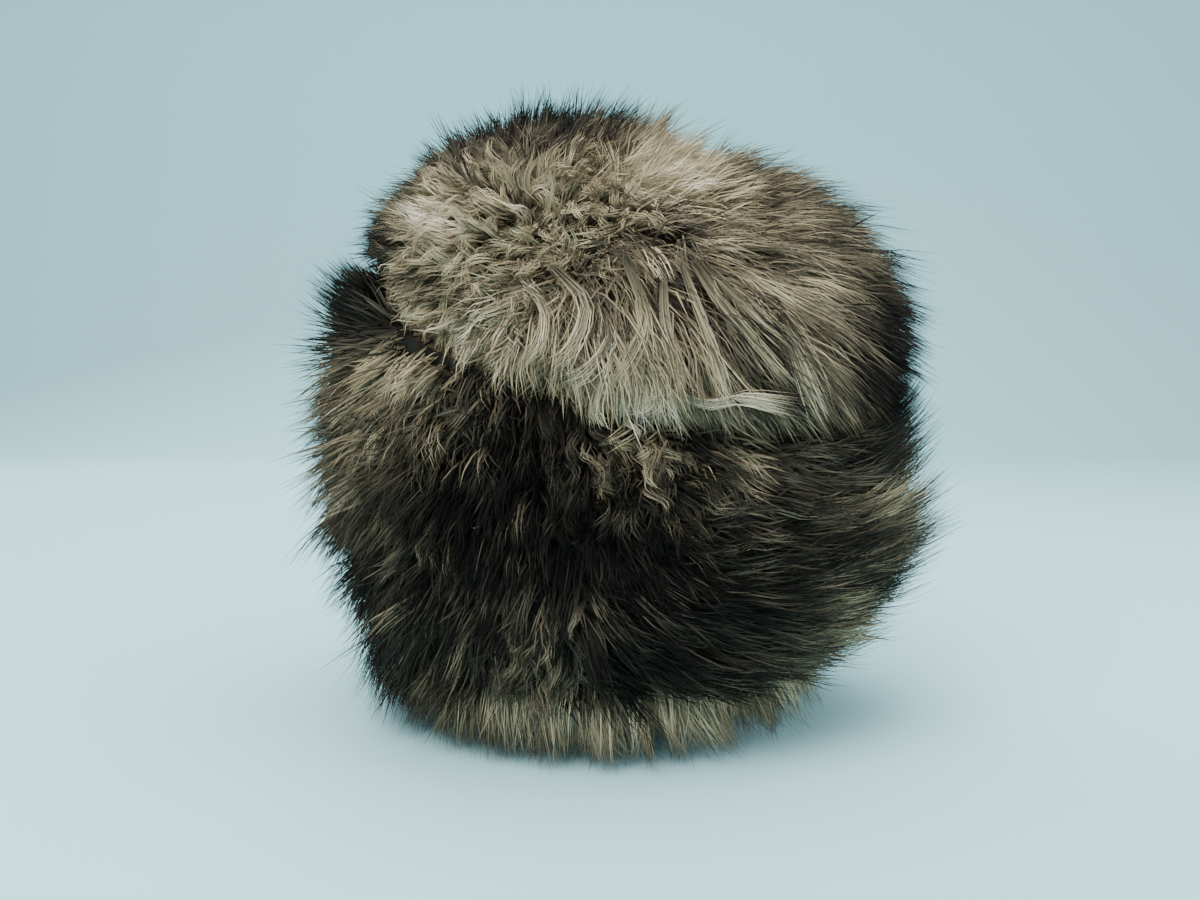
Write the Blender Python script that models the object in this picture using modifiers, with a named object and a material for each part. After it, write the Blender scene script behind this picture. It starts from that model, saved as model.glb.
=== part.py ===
# Fur hat: a leaning round crown piece sewn on a tall turned-up cuff, all of long pale fur with dark tips.
# Metres, +Z up. The origin is on the floor under the middle of the hat.
# -Y is the side with the long hanging locks, and the crown leans down towards -Y and +X.

import math
import random

import bmesh
import bpy
from mathutils import Vector

# Sizes of the leather
HEAD_WIDTH = 0.168  # opening for the head, from ear to ear
HEAD_DEPTH = 0.196  # opening for the head, front to back
LEATHER = 0.0022  # thickness of the pelt's leather
SEWN_GAP = 0.0003  # left between pieces that are sewn together
RIM_HEIGHT = 0.034  # of the leather's lower edge above the floor, which the hair below it reaches
HEM_HEIGHT = 0.010  # upright part of the band above the rim
SEAM_HEIGHT = 0.188  # of the middle of the seam between crown and cuff
SEAM_RADIUS = 0.108  # of the leather at the seam
SEAM_SHIFT = 0.010  # how far the crown sits towards +X
SEAM_SLOPE_X = -0.28  # rise of the seam's plane along X
SEAM_SLOPE_Y = 0.28  # rise of the seam's plane along Y
DOME_HEIGHT = 0.072  # of the leather above the seam's plane
CUFF_DROP = 0.012  # of the cuff's upper edge below the seam
CUFF_PADDING = 0.013  # how far the cuff's middle stands off the band

# Sizes of the fur
FUR_BACKING = 0.0040  # dense underfur at the roots
CROWN_PILE = 0.030  # length of the crown's locks
CUFF_PILE = 0.036  # length of the cuff's locks
FRINGE_DEPTH = 0.0036  # of the ring that carries the hair below the rim
FRINGE_REACH = 0.009  # how far that ring stands out beyond the cuff's leather
FRINGE_UNEVEN = 0.010  # by which a lock below the rim stops short of the floor, more or less
TIP_WIDTH = 0.0030  # across the small flat tips that the hat rests on
TIP_STRAY = 0.0055  # how far a lock's tip strays to a side at most

# Shares and counts
DOME_FULLNESS = 0.82  # below 1 the dome's shoulders are fuller than a ball's
LOCK_WAIST = 0.60  # share of a lock's length at which it starts to close
LOCK_TAPER = 0.86  # width of a lock there, as a share of its foot
DOME_CUTS = 9  # cuts across each face of the cube that becomes the dome
COLUMNS = 4 * (DOME_CUTS + 1)  # faces round the hat, the same in every piece
FULL_TURN = 2.0 * math.pi
SEED = 11

# Band between the hem and the seam: rise is the share of the way up, spread the share of the way
# from the oval of the opening to the round of the seam.
BAND_ROWS = (
    {"rise": 0.00, "spread": 0.00},
    {"rise": 0.50, "spread": 0.60},
    {"rise": 1.00, "spread": 1.00},
)

# Cuff from the rim up: rise is the share of its height, stand_off the share of CUFF_PADDING, and
# locks the rows of locks between this row and the next.
CUFF_ROWS = (
    {"rise": 0.00, "stand_off": 0.00, "locks": 0},
    {"rise": 0.08, "stand_off": 0.00, "locks": 2},
    {"rise": 0.28, "stand_off": 0.80, "locks": 2},
    {"rise": 0.60, "stand_off": 1.00, "locks": 3},
    {"rise": 1.00, "stand_off": 0.30, "locks": 0},
)

# Lie of the cuff's fur: rise is the share of the cuff's height, climb the angle above the level in
# degrees, and pile the share of CUFF_PILE.
CUFF_LIE = (
    {"rise": 0.00, "climb": -28.0, "pile": 1.10},
    {"rise": 0.25, "climb": -16.0, "pile": 1.12},
    {"rise": 0.50, "climb": -2.0, "pile": 1.00},
    {"rise": 0.75, "climb": 12.0, "pile": 0.88},
    {"rise": 1.00, "climb": 10.0, "pile": 0.70},
)

# Sweep of the cuff's fur round the hat: side is the share of a turn from +X towards +Y, lean the
# angle in degrees by which the hair lies over along that turn, and pile a share of its length.
CUFF_SWEEP = (
    {"side": 0.00, "lean": 4.0, "pile": 1.00},
    {"side": 0.25, "lean": 0.0, "pile": 0.94},
    {"side": 0.50, "lean": 0.0, "pile": 1.00},
    {"side": 0.68, "lean": 4.0, "pile": 0.94},
    {"side": 0.78, "lean": 12.0, "pile": 0.92},
    {"side": 0.90, "lean": 20.0, "pile": 0.98},
    {"side": 1.00, "lean": 4.0, "pile": 1.00},
)

# Parting of the crown's hair, and how far the hair leans over in degrees above it and below it
WHORL_SIDE = 0.80  # share of a turn from +X
WHORL_RISE = 0.42  # share of the dome's height
LEAN_ABOVE = 22.0
LEAN_BELOW = 46.0
SEAM_LEAN = 0.10  # share of the lean that is left next to the seam
HANGING = 1.20  # length of the locks right below the parting, as a share of CROWN_PILE

# Rows of locks below the rim, from the inside out: splay is the angle below the level in degrees
FRINGE_ROWS = ({"splay": 66.0}, {"splay": 44.0})
FRINGE_RESTING = 4  # every fourth lock of the outer row ends flat on the floor


def seam_plane(x, y):
    """Height of the seam's plane over a place on the floor."""
    return SEAM_HEIGHT + SEAM_SLOPE_X * (x - SEAM_SHIFT) + SEAM_SLOPE_Y * y


def dome_axis():
    """Direction in which the crown leans."""
    return Vector((-SEAM_SLOPE_X, -SEAM_SLOPE_Y, 1.0)).normalized()


def turns():
    """Angle of each column round the hat."""
    return [FULL_TURN * column / COLUMNS for column in range(COLUMNS)]


def outwards(turn):
    """Level direction away from the hat's middle."""
    return Vector((math.cos(turn), math.sin(turn), 0.0))


def read_table(rows, key, place, value):
    """A column's value at a place in a table, on straight lines between its rows."""
    for low, high in zip(rows, rows[1:]):
        if place <= high[key]:
            way = (place - low[key]) / (high[key] - low[key])
            return low[value] + way * (high[value] - low[value])
    return rows[-1][value]


def oval_point(turn, height, away=0.0):
    """A place on the opening's oval, or this far outside it."""
    x = math.cos(turn) * (HEAD_WIDTH / 2 + away)
    y = math.sin(turn) * (HEAD_DEPTH / 2 + away)
    return Vector((x, y, height))


def seam_point(turn):
    """A place on the inner side of the seam."""
    x = SEAM_SHIFT + SEAM_RADIUS * math.cos(turn)
    y = SEAM_RADIUS * math.sin(turn)
    return Vector((x, y, seam_plane(x, y)))


def band_point(turn, rise):
    """Inner side of the band between the hem, at 0, and the seam, at 1."""
    foot = oval_point(turn, RIM_HEIGHT + HEM_HEIGHT)
    head = seam_point(turn)
    place = foot.lerp(head, read_table(BAND_ROWS, "rise", rise, "spread"))
    place.z = foot.z + (head.z - foot.z) * rise
    return place


def dome_point(unit):
    """Inner side of the dome, from a point of the unit half ball."""
    flat = math.hypot(unit.x, unit.y)
    full = flat ** (DOME_FULLNESS - 1.0) if flat > 0.0 else 0.0
    x = SEAM_SHIFT + SEAM_RADIUS * unit.x * full
    y = SEAM_RADIUS * unit.y * full
    return Vector((x, y, seam_plane(x, y))) + dome_axis() * (DOME_HEIGHT * unit.z)


def dome_patch(mesh):
    """Even faces over the dome: the upper half of a cube's grid, rounded."""
    bmesh.ops.create_cube(mesh, size=2.0)
    bmesh.ops.subdivide_edges(mesh, edges=mesh.edges[:], cuts=DOME_CUTS, use_grid_fill=True)
    low = [face for face in mesh.faces if face.calc_center_median().z < 0.0]
    bmesh.ops.delete(mesh, geom=low, context="FACES")
    for vert in mesh.verts:
        even = Vector([math.tan(value * math.pi / 4) for value in vert.co])
        vert.co = dome_point(even.normalized())


def rings(mesh, rows, closed=False):
    """Bands of faces through rows of points round the hat; closed joins the last row to the first."""
    made = [[mesh.verts.new(point) for point in row] for row in rows]
    pairs = list(zip(made, made[1:]))
    if closed:
        pairs.append((made[-1], made[0]))
    for low, high in pairs:
        for column in range(COLUMNS):
            after = (column + 1) % COLUMNS
            mesh.faces.new((low[column], low[after], high[after], high[column]))


def push_out(mesh, distance):
    """Move every point out, so that the faces end this far from where they were."""
    mesh.normal_update()
    moves = [(vert, vert.normal * (distance * vert.calc_shell_factor())) for vert in mesh.verts]
    for vert, move in moves:
        vert.co += move


def crown_skin(mesh):
    """Inner side of the crown's leather, from the rim to the top of the dome."""
    dome_patch(mesh)
    rows = [[oval_point(turn, RIM_HEIGHT) for turn in turns()]]
    for row in BAND_ROWS:
        rows.append([band_point(turn, row["rise"]) for turn in turns()])
    rings(mesh, rows)
    bmesh.ops.remove_doubles(mesh, verts=mesh.verts[:], dist=LEATHER / 50)
    bmesh.ops.recalc_face_normals(mesh, faces=mesh.faces[:])


def cuff_point(turn, row):
    """Inner side of the cuff's leather."""
    seam = seam_point(turn).z
    height = RIM_HEIGHT + (seam - CUFF_DROP - RIM_HEIGHT) * row["rise"]
    foot = RIM_HEIGHT + HEM_HEIGHT
    place = band_point(turn, max(0.0, (height - foot) / (seam - foot)))
    place.z = height
    away = LEATHER + SEWN_GAP + CUFF_PADDING * row["stand_off"]
    return place + outwards(turn) * away


def cuff_skin(mesh):
    """Inner side of the cuff's leather, from the rim to its upper edge."""
    rings(mesh, [[cuff_point(turn, row) for turn in turns()] for row in CUFF_ROWS])


def thicken(mesh, depth):
    """Give an open sheet a body of this depth on its outer side; returns the outer faces."""
    mesh.normal_update()
    moves = {vert.co.to_tuple(7): vert.normal * depth for vert in mesh.verts}
    made = bmesh.ops.extrude_face_region(mesh, geom=mesh.faces[:], use_keep_orig=True)["geom"]
    outer = [item for item in made if isinstance(item, bmesh.types.BMFace)]
    for vert in [item for item in made if isinstance(item, bmesh.types.BMVert)]:
        vert.co += moves[vert.co.to_tuple(7)]
    bmesh.ops.recalc_face_normals(mesh, faces=mesh.faces[:])
    return outer


def draw_out(mesh, face, middle, width):
    """Draw a face out to a new middle, at a share of its width; returns the new end face."""
    start = face.calc_center_median()
    drawn = bmesh.ops.extrude_discrete_faces(mesh, faces=[face])["faces"][0]
    for vert in drawn.verts:
        vert.co = middle + (vert.co - start) * width
    return drawn


def pointed_lock(mesh, face, reach, chance):
    """A lock of hair on one face, closed at a point that strays a little."""
    middle = face.calc_center_median()
    stray = Vector([chance.uniform(-TIP_STRAY, TIP_STRAY) for _ in range(3)])
    drawn = draw_out(mesh, face, middle + reach * LOCK_WAIST, LOCK_TAPER)
    tip = bmesh.ops.poke(mesh, faces=[drawn])["verts"][0]
    tip.co = middle + reach + stray - reach * (stray.dot(reach) / reach.length_squared)


def resting_lock(mesh, face, reach):
    """A lock of hair on one face, closed at a small flat tip that lies level."""
    middle = face.calc_center_median()
    drawn = draw_out(mesh, face, middle + reach * LOCK_WAIST, LOCK_TAPER)
    width = max((vert.co - drawn.calc_center_median()).length for vert in drawn.verts)
    drawn = draw_out(mesh, drawn, middle + reach, TIP_WIDTH / 2 / width)
    for vert in drawn.verts:
        vert.co.z = middle.z + reach.z


def crown_fur(mesh, chance):
    """Locks over the dome, on a backing round the leather."""
    crown_skin(mesh)
    push_out(mesh, LEATHER + SEWN_GAP)
    low = [face for face in mesh.faces if not on_dome(face.calc_center_median())]
    bmesh.ops.delete(mesh, geom=low, context="FACES")
    outer = thicken(mesh, FUR_BACKING)
    turn = FULL_TURN * WHORL_SIDE
    whorl_unit = outwards(turn) * math.sqrt(1.0 - WHORL_RISE**2)
    whorl_unit.z = WHORL_RISE
    whorl = dome_point(whorl_unit)
    ways = [crown_way(face, whorl) for face in outer]
    for face, way in zip(outer, ways):
        hanging = 1.0 + (HANGING - 1.0) * below_parting(face.calc_center_median(), whorl)
        length = (CROWN_PILE * hanging - FUR_BACKING) * chance.uniform(0.80, 1.12)
        pointed_lock(mesh, face, way * length, chance)


def on_dome(point):
    """True for a place above the seam."""
    return point.z > seam_plane(point.x, point.y)


def below_parting(point, whorl):
    """From 0 above the parting to 1 well below it, on its own side of the crown."""
    fall = (whorl - point).dot(dome_axis()) / DOME_HEIGHT
    aside = (point - whorl).length / SEAM_RADIUS
    return max(0.0, min(1.0, 0.4 + 2.0 * fall)) * max(0.0, 1.0 - 0.6 * aside)


def crown_way(face, whorl):
    """Direction of the crown's hair at a face: away from the parting, and flatter below it."""
    middle = face.calc_center_median()
    normal = face.normal.normalized()
    away = middle - whorl
    away -= normal * away.dot(normal)
    lean = math.radians(LEAN_ABOVE + (LEAN_BELOW - LEAN_ABOVE) * below_parting(middle, whorl))
    level = middle - dome_axis() * (middle.z - seam_plane(middle.x, middle.y))
    edge = (level - seam_point(math.atan2(middle.y, middle.x - SEAM_SHIFT))).length / DOME_HEIGHT
    lean *= min(1.0, SEAM_LEAN + edge)
    return (normal * math.cos(lean) + away.normalized() * math.sin(lean)).normalized()


def cuff_fur(mesh, chance):
    """Rows of locks round the cuff, on a backing round its leather."""
    sheet = bmesh.new()
    cuff_skin(sheet)
    push_out(sheet, LEATHER + SEWN_GAP)
    points = [vert.co.copy() for vert in sheet.verts]
    sheet.free()
    rows = [points[start : start + COLUMNS] for start in range(0, len(points), COLUMNS)]
    levels = []
    for table_row, low, high in zip(CUFF_ROWS, rows, rows[1:]):
        for step in range(table_row["locks"]):
            way = step / table_row["locks"]
            levels.append([a.lerp(b, way) for a, b in zip(low, high)])
    levels.append(rows[-1])
    rings(mesh, levels)
    outer = thicken(mesh, FUR_BACKING)
    reaches = [cuff_reach(face) * chance.uniform(0.84, 1.12) for face in outer]
    for face, reach in zip(outer, reaches):
        pointed_lock(mesh, face, reach, chance)


def cuff_reach(face):
    """Direction and length of the cuff's hair at a face."""
    middle = face.calc_center_median()
    turn = math.atan2(middle.y, middle.x) % FULL_TURN
    top = seam_point(turn).z - CUFF_DROP
    rise = max(0.0, min(1.0, (middle.z - RIM_HEIGHT) / (top - RIM_HEIGHT)))
    climb = math.radians(read_table(CUFF_LIE, "rise", rise, "climb"))
    lean = math.radians(read_table(CUFF_SWEEP, "side", turn / FULL_TURN, "lean"))
    out = outwards(turn)
    along = Vector((-out.y, out.x, 0.0))
    way = out * math.cos(climb) + Vector((0.0, 0.0, math.sin(climb)))
    way = way * math.cos(lean) + along * math.sin(lean)
    pile = read_table(CUFF_LIE, "rise", rise, "pile")
    pile *= read_table(CUFF_SWEEP, "side", turn / FULL_TURN, "pile")
    return way * (CUFF_PILE * pile - FUR_BACKING)


def rim_fringe(mesh, chance):
    """Hair below the rim: locks under a ring that lies against both leather edges."""
    top = RIM_HEIGHT - SEWN_GAP
    low = top - FRINGE_DEPTH
    reach = 2.0 * LEATHER + SEWN_GAP + FRINGE_REACH
    section = (
        (0.0, top),
        (reach, top),
        (reach / 2, low),
        (0.0, low),
    )
    rings(mesh, [[oval_point(turn, z, away) for turn in turns()] for away, z in section], closed=True)
    bmesh.ops.recalc_face_normals(mesh, faces=mesh.faces[:])
    under = [face for face in mesh.faces if face.normal.z < -0.5]
    under.sort(key=lambda face: fringe_place(face, reach))
    for place, face in enumerate(under):
        row, column = divmod(place, COLUMNS)
        resting = row == len(FRINGE_ROWS) - 1 and column % FRINGE_RESTING == 0
        short = 0.0 if resting else chance.uniform(0.6, 1.2) * FRINGE_UNEVEN
        middle = face.calc_center_median()
        splay = math.radians(FRINGE_ROWS[row]["splay"])
        drop = middle.z - short
        out = outwards(math.atan2(middle.y, middle.x))
        way = out * (drop / math.tan(splay)) - Vector((0.0, 0.0, drop))
        if resting:
            resting_lock(mesh, face, way)
        else:
            pointed_lock(mesh, face, way, chance)


def fringe_place(face, reach):
    """Sorts the ring's lower faces into an inner and an outer row, each in order round the hat."""
    middle = face.calc_center_median()
    turn = math.atan2(middle.y, middle.x) % FULL_TURN
    inner = Vector((middle.x * 2.0 / (HEAD_WIDTH + reach), middle.y * 2.0 / (HEAD_DEPTH + reach)))
    return (inner.length > 1.0, turn)


def material(name, colour, roughness):
    """A plain surface for one piece."""
    made = bpy.data.materials.new(name)
    made.use_nodes = True
    shader = made.node_tree.nodes["Principled BSDF"]
    shader.inputs["Base Color"].default_value = (*colour, 1.0)
    shader.inputs["Roughness"].default_value = roughness
    shader.inputs["Metallic"].default_value = 0.0
    made.diffuse_color = (*colour, 1.0)
    return made


def add_piece(collection, name, mesh, look):
    """Make a piece's object from its mesh."""
    data = bpy.data.meshes.new(name)
    mesh.to_mesh(data)
    mesh.free()
    data.materials.append(look)
    piece = bpy.data.objects.new(name, data)
    collection.objects.link(piece)
    return piece


def add_leather(collection, name, skin, look):
    """A leather piece: its inner side, thickened outwards."""
    mesh = bmesh.new()
    skin(mesh)
    piece = add_piece(collection, name, mesh, look)
    wall = piece.modifiers.new("Leather", "SOLIDIFY")
    wall.thickness = LEATHER
    wall.offset = 1.0
    wall.use_even_offset = True
    piece.data.shade_smooth()
    piece.data.set_sharp_from_angle(angle=math.radians(40.0))
    return piece


def add_fur(collection, name, grow, look):
    """A piece of fur, with its own run of chance."""
    mesh = bmesh.new()
    grow(mesh, random.Random(SEED))
    return add_piece(collection, name, mesh, look)


def centre_on_floor(pieces):
    """Put the middle of the whole hat over the origin."""
    corners = [piece.matrix_world @ vert.co for piece in pieces for vert in piece.data.vertices]
    middle_x = (min(c.x for c in corners) + max(c.x for c in corners)) / 2
    middle_y = (min(c.y for c in corners) + max(c.y for c in corners)) / 2
    for piece in pieces:
        piece.location = (-middle_x, -middle_y, 0.0)


def main():
    for old in list(bpy.data.objects):
        bpy.data.objects.remove(old, do_unlink=True)
    collection = bpy.data.collections.new("fur_hat")
    bpy.context.scene.collection.children.link(collection)
    leather = material("pelt_leather", (0.42, 0.33, 0.23), 0.9)
    pale = material("pale_fur", (0.27, 0.23, 0.15), 0.85)
    dark = material("dark_fur", (0.055, 0.052, 0.038), 0.85)
    light = material("fringe_fur", (0.33, 0.32, 0.27), 0.85)
    pieces = [
        add_leather(collection, "crown", crown_skin, leather),
        add_leather(collection, "cuff", cuff_skin, leather),
        add_fur(collection, "crown_fur", crown_fur, pale),
        add_fur(collection, "cuff_fur", cuff_fur, dark),
        add_fur(collection, "rim_fringe", rim_fringe, light),
    ]
    centre_on_floor(pieces)


main()
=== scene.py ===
import math

import bpy
import numpy as np
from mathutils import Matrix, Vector


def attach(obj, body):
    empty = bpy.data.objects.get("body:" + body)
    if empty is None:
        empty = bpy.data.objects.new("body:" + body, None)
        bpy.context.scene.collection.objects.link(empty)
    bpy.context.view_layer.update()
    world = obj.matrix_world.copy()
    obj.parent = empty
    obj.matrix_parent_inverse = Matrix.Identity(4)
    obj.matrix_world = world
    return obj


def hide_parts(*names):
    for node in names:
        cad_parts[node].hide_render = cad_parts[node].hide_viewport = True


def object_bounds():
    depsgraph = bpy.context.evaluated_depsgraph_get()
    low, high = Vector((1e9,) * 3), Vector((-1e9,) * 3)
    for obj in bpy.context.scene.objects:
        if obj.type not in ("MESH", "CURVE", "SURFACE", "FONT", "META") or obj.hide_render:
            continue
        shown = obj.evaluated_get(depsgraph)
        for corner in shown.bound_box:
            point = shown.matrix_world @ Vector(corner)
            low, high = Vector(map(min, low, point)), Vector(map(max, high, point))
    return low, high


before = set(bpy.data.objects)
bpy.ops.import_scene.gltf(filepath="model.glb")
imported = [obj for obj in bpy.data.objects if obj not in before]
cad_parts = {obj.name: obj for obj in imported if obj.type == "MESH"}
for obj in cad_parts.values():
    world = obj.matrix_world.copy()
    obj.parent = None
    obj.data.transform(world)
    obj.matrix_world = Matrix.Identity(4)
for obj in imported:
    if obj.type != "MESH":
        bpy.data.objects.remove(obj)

cad_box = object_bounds()

# Sizes of the leather that the fur grows on, in metres, as the solids have them
HEAD_WIDTH = 0.168
HEAD_DEPTH = 0.196
LEATHER = 0.0022
RIM_HEIGHT = 0.034
HEM_HEIGHT = 0.010
SEAM_HEIGHT = 0.188
SEAM_RADIUS = 0.108
SEAM_SHIFT = 0.010
SEAM_SLOPE_X = -0.28
SEAM_SLOPE_Y = 0.28
DOME_HEIGHT = 0.072
DOME_FULLNESS = 0.82
CUFF_DROP = 0.012
CUFF_PADDING = 0.013
CUFF_GAP = 2.2 * LEATHER
# How far the cuff has gone from the head's oval to the seam's circle, by its height, and how much of the
# padding it has, by its share of height
CUFF_SPREAD = {"height": (0.0, 0.5, 1.0), "share": (0.0, 0.6, 1.0)}
CUFF_FULLNESS = {"height": (0.0, 0.08, 0.28, 0.60, 1.0), "share": (0.0, 0.0, 0.8, 1.0, 0.3)}
FULL_TURN = 2.0 * math.pi
MM = 0.001
TINY = 1e-9

# Camera, about the middle of the opening, and the photo's frame
LENS_MM = 35.0
SENSOR_MM = 36.0
PHOTO_WIDTH = 1200
PHOTO_HEIGHT = 900
PHOTO_SCALE = LENS_MM / SENSOR_MM * PHOTO_WIDTH
CAMERA_DISTANCE = 0.5835
CAMERA_RISE = math.radians(4.0)
CAMERA_AIM = np.array([-0.001, 0.0, 0.125])

# How far hair may stand out of the solids' box, and how far above the floor it ends
HAIR_MARGIN = 0.016
FLOOR_CLEAR = 0.0006

# How hairs differ: the spread of a tuft's way, of the lengths and of the shades, and the range of widths
TUFT_WAY_SPREAD = 1.2
TUFT_LENGTH_SPREAD = 0.10
TUFT_LENGTHS = (0.75, 1.3)
HAIR_LENGTH_SPREAD = 0.08
HAIR_LENGTHS = (0.7, 1.3)
TUFT_TONE_SPREAD = 0.09
HAIR_TONE_SPREAD = 0.05
HAIR_WIDTHS = (0.7, 1.3)
SIDE_SPREAD = 0.45

# How a hair bends: its lean at the root, the length of its curve for its pile, how pointed it is, and how
# much of its wave goes in and out
ROOT_LEAN = 0.35
CURVE_LENGTH = 1.25
TAPER_POWER = 2.2
WAVE_DEPTH = 0.6

# Kinds of hair: hairs in a tuft, steps along a hair, the radius of a tuft in mm, the share by which it
# draws together, the stray of its hairs, and their width in mm
STRAND_COLUMNS = ("hairs", "steps", "radius", "gather", "stray", "width")
STRANDS = {
    "crown_wool": (7, 4, 4.6, 0.40, 0.22, 1.35),
    "crown_locks": (15, 5, 4.6, 0.80, 0.08, 0.72),
    "crown_guard_hair": (9, 4, 2.6, 0.80, 0.06, 0.62),
    "crown_curls": (11, 8, 2.6, 0.70, 0.05, 0.62),
    "cuff_wool": (7, 4, 5.0, 0.40, 0.22, 1.40),
    "cuff_locks": (15, 5, 5.0, 0.80, 0.08, 0.78),
    "cuff_guard_hair": (9, 4, 2.8, 0.80, 0.06, 0.66),
    "cuff_curls": (11, 8, 2.6, 0.70, 0.05, 0.62),
    "rim_hair": (15, 5, 6.5, 0.93, 0.07, 0.50),
    "rim_guard_hair": (4, 5, 6.0, 0.50, 0.12, 0.36),
}

# Coats of the crown and of the cuff: how many tufts are sown, and the change of pile, tone and curl from
# the lie tables
COAT_COLUMNS = ("tufts", "pile", "tone", "curl")
COATS = {
    # The wool's lowered tone, on the crown and on the cuff, is partly painted shade in the gaps between the
    # locks
    "crown_wool": (3500, 0.80, -0.13, 1.2),
    "crown_locks": (1750, 1.00, 0.03, 1.0),
    "crown_guard_hair": (3600, 1.26, -0.12, 0.5),
    "crown_curls": (4200, 1.00, 0.03, 1.0),
    "cuff_wool": (3200, 0.84, -0.06, 1.2),
    "cuff_locks": (1850, 1.02, 0.03, 1.0),
    "cuff_guard_hair": (3600, 1.26, -0.08, 0.5),
    "cuff_curls": (3000, 1.00, 0.07, 1.0),
}

# Curls: their pile in mm, how far above the roots they start in mm, and how messy the lie is where none
# and where all of them grow
CURL_COLUMNS = ("pile", "start", "none", "all")
CURLS = {
    "crown_curls": (15.0, 7.0, 0.30, 0.70),
    "cuff_curls": (14.0, 10.0, 0.26, 0.55),
}
# The waves of a curl in mm, its lift and its messiness
CURL_SIZE = 2.6
CURL_LIFT = 0.38
CURL_MESSY = 0.45

# Depth of the middle of the fur over the leather, where the lie tables are read
FUR_MIDDLE = {"crown": 0.014, "cuff": 0.018, "rim": 0.020}

# How far the hat's side faces away from the camera, from 0, side on, to 1: where the ways of the hair on
# the photo's side begin and end to bend round with it, and where they begin and end to give way to the
# plain ways of the far side
BEND_ROUND = (0.0, 0.2)
GIVE_WAY = (0.05, 0.45)

# Seeds of the random draws
SEEDS = {"crown": 21, "cuff": 22, "rim": 23, "wisps": 24}

# Lie of the crown's hair. x and y are places in the photo's 1200 by 900 frame, angle the way the hair
# points there in degrees (0 right, 90 up), lift how far it stands up, pile its length in mm, curl the
# size of its waves in mm, tone its shade from 0, black brown, to 1, cream, black the share of black
# guard hairs, and messy how much its tufts differ in direction.
LIE_COLUMNS = ("x", "y", "angle", "lift", "pile", "curl", "tone", "black", "messy")
CROWN_LIE = (
    (363, 233, 185, 0.70, 24, 0.6, 0.05, 1.00, 0.10),
    (385, 205, 150, 0.70, 14, 0.6, 0.30, 1.00, 0.10),
    (428, 165, 135, 0.70, 15, 0.6, 0.16, 1.00, 0.10),
    (460, 132, 110, 0.70, 17, 0.6, 0.08, 1.00, 0.08),
    (510, 122, 100, 0.70, 20, 0.6, 0.08, 1.00, 0.08),
    (554, 112, 92, 0.72, 23, 0.6, 0.10, 1.00, 0.08),
    (608, 101, 85, 0.75, 26, 0.6, 0.12, 1.00, 0.08),
    (661, 101, 65, 0.70, 27, 0.6, 0.36, 0.80, 0.10),
    (723, 116, 45, 0.65, 29, 0.6, 0.26, 0.90, 0.10),
    (788, 143, 35, 0.65, 32, 0.6, 0.10, 1.00, 0.06),
    (837, 178, 20, 0.65, 33, 0.6, 0.18, 1.00, 0.06),
    (876, 233, 5, 0.62, 33, 0.6, 0.20, 1.00, 0.06),
    (903, 279, -10, 0.60, 26, 0.6, 0.16, 1.00, 0.06),
    (910, 329, -20, 0.60, 22, 0.6, 0.10, 1.00, 0.06),
    (905, 379, -30, 0.60, 20, 0.6, 0.06, 1.00, 0.06),
    (850, 400, -62, 0.40, 28, 0.8, 0.34, 0.50, 0.10),
    (417, 206, 200, 0.40, 15, 2.0, 0.96, 0.10, 0.50),
    (405, 245, 215, 0.40, 17, 2.2, 0.66, 0.20, 0.50),
    (470, 165, 150, 0.42, 17, 3.0, 0.62, 0.25, 0.80),
    (474, 210, 235, 0.35, 18, 3.4, 0.52, 0.25, 0.85),
    (520, 170, 60, 0.35, 18, 3.2, 0.60, 0.25, 0.90),
    (512, 252, 250, 0.36, 19, 3.2, 0.50, 0.20, 0.75),
    (436, 283, 235, 0.36, 19, 2.8, 0.52, 0.20, 0.65),
    (466, 325, 240, 0.34, 24, 2.2, 0.66, 0.10, 0.40),
    (524, 330, 262, 0.30, 31, 2.2, 0.58, 0.10, 0.25),
    (577, 315, 285, 0.20, 40, 2.2, 0.54, 0.10, 0.14),
    (625, 300, 284, 0.14, 48, 2.2, 0.54, 0.05, 0.10),
    (665, 290, 275, 0.12, 52, 2.2, 0.52, 0.05, 0.08),
    (700, 290, 288, 0.12, 52, 2.2, 0.54, 0.05, 0.08),
    (742, 320, 308, 0.16, 45, 1.8, 0.44, 0.10, 0.10),
    (765, 290, 322, 0.20, 38, 1.2, 0.51, 0.15, 0.10),
    (723, 241, 335, 0.30, 28, 1.2, 0.54, 0.20, 0.14),
    (799, 317, 316, 0.24, 34, 1.0, 0.62, 0.10, 0.10),
    (837, 271, 333, 0.33, 30, 0.8, 0.53, 0.30, 0.10),
    (799, 233, 340, 0.33, 30, 0.8, 0.53, 0.30, 0.10),
    (761, 195, 343, 0.36, 28, 0.8, 0.62, 0.30, 0.12),
    (700, 165, 330, 0.40, 22, 1.2, 0.93, 0.05, 0.20),
    (640, 135, 30, 0.45, 20, 1.8, 0.66, 0.20, 0.35),
    (580, 165, 300, 0.36, 19, 2.8, 0.61, 0.25, 0.80),
    (600, 215, 300, 0.34, 22, 2.6, 0.52, 0.20, 0.50),
    (661, 235, 300, 0.30, 26, 1.6, 0.54, 0.15, 0.25),
)

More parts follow.
